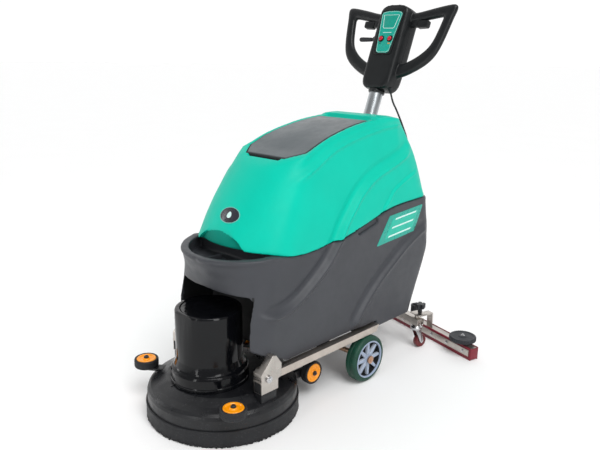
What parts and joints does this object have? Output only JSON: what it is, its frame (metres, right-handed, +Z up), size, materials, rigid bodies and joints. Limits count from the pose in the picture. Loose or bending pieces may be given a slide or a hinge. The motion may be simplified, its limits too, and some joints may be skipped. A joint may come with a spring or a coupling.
{
  "type": "wet dry floor scrubber",
  "caption": "Walk-behind wet dry floor scrubber: round brush deck, stacked solution and recovery tanks, D-grip handle column and swinging rear squeegee.",
  "frame": {"origin": "on the floor, centre of the scrubbing face of the brush", "axes": "+Z up, -Y forwards to the brush deck, +Y back to the handle and squeegee, +X the machine's left-hand side"},
  "size_m": [0.7295, 1.4376, 1.3901],
  "materials": {
    "green_plastic": "satin moulded",
    "tank_plastic": "fine textured",
    "lid_plastic": "satin moulded",
    "black_plastic": "fine textured",
    "gloss_black": "glossy moulded",
    "black_rubber": "matte",
    "orange_plastic": "satin moulded",
    "stainless": "brushed",
    "steel_bolt": "zinc plated",
    "green_tyre": "matte",
    "rim_plastic": "satin moulded",
    "bristle": "bristle",
    "battery_case": "fine textured",
    "motor_paint": "painted",
    "red_button": "glossy",
    "panel_green": "printed film",
    "maroon_rubber": "matte",
    "cable_rubber": "satin",
    "roller_grey": "ribbed",
    "caster_wheel": "satin"
  },
  "bodies": {
    "chassis": {"chassis_rails": "stainless", "frame_crossbars": "stainless", "axle_brackets": "stainless", "main_axle": "steel_bolt", "squeegee_mount": "stainless", "column_post": "stainless", "solution_tank": "tank_plastic", "batteries": "battery_case", "vacuum_motor": "motor_paint", "deck_pivot_bolts": "steel_bolt", "column_tube": "stainless", "console_front": "black_plastic", "console_back": "black_plastic", "control_panel": "panel_green", "cable_glands": "black_rubber", "console_cable": "cable_rubber"},
    "deck": {"deck_cover": "black_plastic", "splash_skirt": "black_rubber", "drive_motor": "motor_paint", "motor_cover": "gloss_black", "deck_bracket_left": "stainless", "deck_bracket_right": "stainless", "roller_arms": "black_plastic", "roller_bolts": "steel_bolt"},
    "brush": {"brush_disc": "black_plastic", "scrub_brush": "bristle"},
    "recovery": {"recovery_tank": "green_plastic"},
    "lid": {"tank_lid": "lid_plastic"},
    "filler": {"filler_cap": "black_plastic"},
    "lift_lever_body": {"lift_lever": "black_plastic"},
    "swing": {"swing_arm": "black_plastic"},
    "squeegee": {"carrier_plate": "stainless", "squeegee_channel": "stainless", "squeegee_blades": "maroon_rubber", "blade_clamps": "stainless", "suction_port": "black_plastic"},
    "bumper_left": {"bumper_left_hub": "orange_plastic", "bumper_left_tyre": "black_rubber"},
    "guide_left": {"guide_left_hub": "orange_plastic", "guide_left_tyre": "black_rubber"},
    "wheel_left": {"wheel_rim_left": "rim_plastic", "wheel_tyre_left": "green_tyre"},
    "trigger_left_body": {"trigger_left": "black_plastic"},
    "button_left_body": {"button_left": "red_button"},
    "end_roller_left_body": {"end_roller_left": "roller_grey"},
    "star_knob_left_body": {"star_knob_left": "black_plastic"},
    "caster_fork_left_body": {"caster_fork_left": "steel_bolt"},
    "caster_wheel_left_body": {"caster_wheel_left": "caster_wheel"},
    "bumper_right": {"bumper_right_hub": "orange_plastic", "bumper_right_tyre": "black_rubber"},
    "guide_right": {"guide_right_hub": "orange_plastic", "guide_right_tyre": "black_rubber"},
    "wheel_right": {"wheel_rim_right": "rim_plastic", "wheel_tyre_right": "green_tyre"},
    "trigger_right_body": {"trigger_right": "black_plastic"},
    "button_right_body": {"button_right": "red_button"},
    "end_roller_right_body": {"end_roller_right": "roller_grey"},
    "star_knob_right_body": {"star_knob_right": "black_plastic"},
    "caster_fork_right_body": {"caster_fork_right": "steel_bolt"},
    "caster_wheel_right_body": {"caster_wheel_right": "caster_wheel"}
  },
  "joints": [
    {"name": "deck_float", "type": "hinge", "parent": "chassis", "child": "deck", "pos_m": [0, -0.006, 0.194], "axis": [1, 0, 0], "range_deg": [-3, 3]},
    {"name": "brush_spin", "type": "hinge", "parent": "deck", "child": "brush", "pos_m": [0, 0, 0.04], "axis": [0, 0, 1], "continuous": true},
    {"name": "tank_tip", "type": "hinge", "parent": "chassis", "child": "recovery", "pos_m": [0, -0.028, 0.585], "axis": [1, 0, 0], "range_deg": [0, 55]},
    {"name": "lid_open", "type": "hinge", "parent": "recovery", "child": "lid", "pos_m": [0, 0.607, 0.963], "axis": [-1, 0, 0], "range_deg": [0, 80]},
    {"name": "filler_cap_turn", "type": "hinge", "parent": "chassis", "child": "filler", "pos_m": [0, -0.024, 0.54], "axis": [0, 0, 1], "range_deg": [0, 90]},
    {"name": "squeegee_swing", "type": "hinge", "parent": "chassis", "child": "swing", "pos_m": [0, 0.745, 0.125], "axis": [0, 0, 1], "range_deg": [-5, 35]},
    {"name": "squeegee_lift", "type": "hinge", "parent": "swing", "child": "squeegee", "pos_m": [0.01165, 0.78847, 0.125], "axis": [0.9659, -0.2588, 0], "range_deg": [0, 10]},
    {"name": "lift_lever_turn", "type": "hinge", "parent": "chassis", "child": "lift_lever_body", "pos_m": [-0.084, 0.89441, 1.25565], "axis": [0, -0.9272, 0.3746], "range_deg": [0, 35]},
    {"name": "bumper_left_spin", "type": "hinge", "parent": "deck", "child": "bumper_left", "pos_m": [0.238, -0.153, 0.139], "axis": [0, 0, 1], "continuous": true},
    {"name": "guide_left_spin", "type": "hinge", "parent": "deck", "child": "guide_left", "pos_m": [0.168, 0.269, 0.095], "axis": [1, 0, 0], "continuous": true},
    {"name": "wheel_left_spin", "type": "hinge", "parent": "chassis", "child": "wheel_left", "pos_m": [0.225, 0.504, 0.09], "axis": [1, 0, 0], "continuous": true},
    {"name": "trigger_left_pull", "type": "hinge", "parent": "chassis", "child": "trigger_left_body", "pos_m": [0.108, 0.92138, 1.32241], "axis": [0, -0.9272, 0.3746], "range_deg": [0, 8], "stiffness_Nm_per_rad": 0.3, "springref_deg": -5.73},
    {"name": "button_left_press", "type": "slide", "parent": "chassis", "child": "button_left_body", "axis": [0, 0.9272, -0.3746], "range_m": [0, 0.0025], "stiffness_N_per_m": 150, "springref_m": -0.002},
    {"name": "end_roller_left_spin", "type": "hinge", "parent": "squeegee", "child": "end_roller_left_body", "pos_m": [0.37168, 0.96531, 0.071], "axis": [0, 0, 1], "continuous": true},
    {"name": "star_knob_left_turn", "type": "hinge", "parent": "squeegee", "child": "star_knob_left_body", "pos_m": [0.20528, 0.89291, 0.18], "axis": [0, 0, 1], "continuous": true},
    {"name": "caster_left_swivel", "type": "hinge", "parent": "squeegee", "child": "caster_fork_left_body", "pos_m": [0.20114, 0.87746, 0.095], "axis": [0, 0, 1], "continuous": true},
    {"name": "caster_left_roll", "type": "hinge", "parent": "caster_fork_left_body", "child": "caster_wheel_left_body", "pos_m": [0.20683, 0.89871, 0.028], "axis": [0.9659, -0.2588, 0], "continuous": true},
    {"name": "bumper_right_spin", "type": "hinge", "parent": "deck", "child": "bumper_right", "pos_m": [-0.238, -0.153, 0.139], "axis": [0, 0, 1], "continuous": true},
    {"name": "guide_right_spin", "type": "hinge", "parent": "deck", "child": "guide_right", "pos_m": [-0.168, 0.269, 0.095], "axis": [1, 0, 0], "continuous": true},
    {"name": "wheel_right_spin", "type": "hinge", "parent": "chassis", "child": "wheel_right", "pos_m": [-0.225, 0.504, 0.09], "axis": [1, 0, 0], "continuous": true},
    {"name": "trigger_right_pull", "type": "hinge", "parent": "chassis", "child": "trigger_right_body", "pos_m": [-0.108, 0.92138, 1.32241], "axis": [0, 0.9272, -0.3746], "range_deg": [0, 8], "stiffness_Nm_per_rad": 0.3, "springref_deg": -5.73},
    {"name": "button_right_press", "type": "slide", "parent": "chassis", "child": "button_right_body", "axis": [0, 0.9272, -0.3746], "range_m": [0, 0.0025], "stiffness_N_per_m": 150, "springref_m": -0.002},
    {"name": "end_roller_right_spin", "type": "hinge", "parent": "squeegee", "child": "end_roller_right_body", "pos_m": [-0.21174, 1.12163, 0.071], "axis": [0, 0, 1], "continuous": true},
    {"name": "star_knob_right_turn", "type": "hinge", "parent": "squeegee", "child": "star_knob_right_body", "pos_m": [-0.10382, 0.97573, 0.18], "axis": [0, 0, 1], "continuous": true},
    {"name": "caster_right_swivel", "type": "hinge", "parent": "squeegee", "child": "caster_fork_right_body", "pos_m": [-0.10796, 0.96028, 0.095], "axis": [0, 0, 1], "continuous": true},
    {"name": "caster_right_roll", "type": "hinge", "parent": "caster_fork_right_body", "child": "caster_wheel_right_body", "pos_m": [-0.10227, 0.98153, 0.028], "axis": [0.9659, -0.2588, 0], "continuous": true}
  ],
  "couplings": [
    {"joint": "lift_lever_turn", "follows": "squeegee_lift", "ratio": 3.5}
  ]
}
